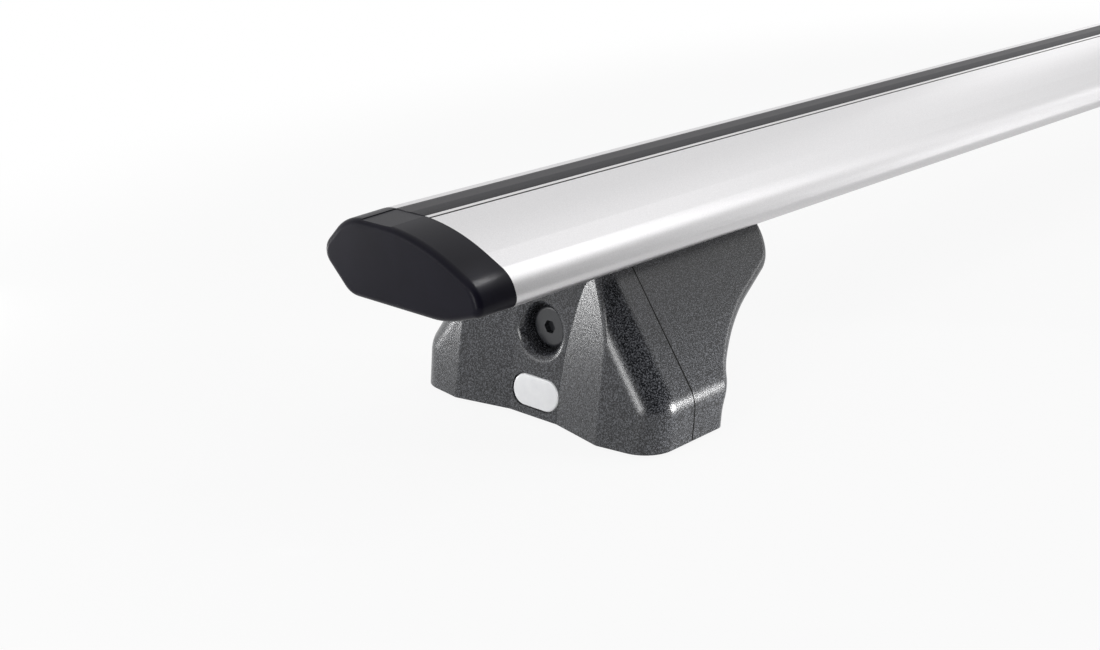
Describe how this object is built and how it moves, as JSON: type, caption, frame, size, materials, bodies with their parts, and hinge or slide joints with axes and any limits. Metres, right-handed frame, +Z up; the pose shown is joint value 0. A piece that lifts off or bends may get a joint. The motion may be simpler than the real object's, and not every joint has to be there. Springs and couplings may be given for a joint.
{
  "type": "roof rack crossbar",
  "caption": "Wing-shaped aluminium roof bar with a rubber top strip, black end caps and moulded feet that bolt to a vehicle's roof and slide along the bar.",
  "frame": {"origin": "on the roof surface, below the middle of the bar", "axes": "+X along the bar towards its right end, +Y along the vehicle, +Z up"},
  "size_m": [1.18, 0.1256, 0.0927],
  "materials": {
    "bar_aluminium": "satin anodised, fine lines along the bar",
    "strip_rubber": "matt",
    "cap_plastic": "smooth satin",
    "foot_plastic": "coarse mould grain",
    "pad_rubber": "matt",
    "plated_steel": "zinc plated",
    "black_steel": "black, satin",
    "badge_white": "bare, glossy"
  },
  "bodies": {
    "bar": {"crossbar": "bar_aluminium", "slot_strip": "strip_rubber", "left_end_cap": "cap_plastic", "right_end_cap": "cap_plastic"},
    "left_foot": {"left_outer_cover": "foot_plastic", "left_foot_body": "foot_plastic", "left_bracket": "plated_steel", "left_foot_pad": "pad_rubber", "left_cover_nut": "plated_steel", "left_badge": "badge_white", "left_slot_plate": "plated_steel", "left_clamp_screws": "plated_steel", "left_clamp_washers": "plated_steel"},
    "right_foot": {"right_outer_cover": "foot_plastic", "right_foot_body": "foot_plastic", "right_bracket": "plated_steel", "right_foot_pad": "pad_rubber", "right_cover_nut": "plated_steel", "right_badge": "badge_white", "right_slot_plate": "plated_steel", "right_clamp_screws": "plated_steel", "right_clamp_washers": "plated_steel"},
    "left_screw": {"left_cover_screw": "black_steel"},
    "right_screw": {"right_cover_screw": "black_steel"}
  },
  "joints": [
    {"name": "left_foot_slide", "type": "slide", "parent": "bar", "child": "left_foot", "axis": [1, 0, 0], "range_m": [-0.045, 0.4]},
    {"name": "right_foot_slide", "type": "slide", "parent": "bar", "child": "right_foot", "axis": [-1, 0, 0], "range_m": [-0.045, 0.4]},
    {"name": "left_screw_turn", "type": "hinge", "parent": "left_foot", "child": "left_screw", "pos_m": [-0.5061, 0, 0.036], "axis": [1, 0, 0], "continuous": true},
    {"name": "right_screw_turn", "type": "hinge", "parent": "right_foot", "child": "right_screw", "pos_m": [0.5061, 0, 0.036], "axis": [-1, 0, 0], "continuous": true}
  ]
}
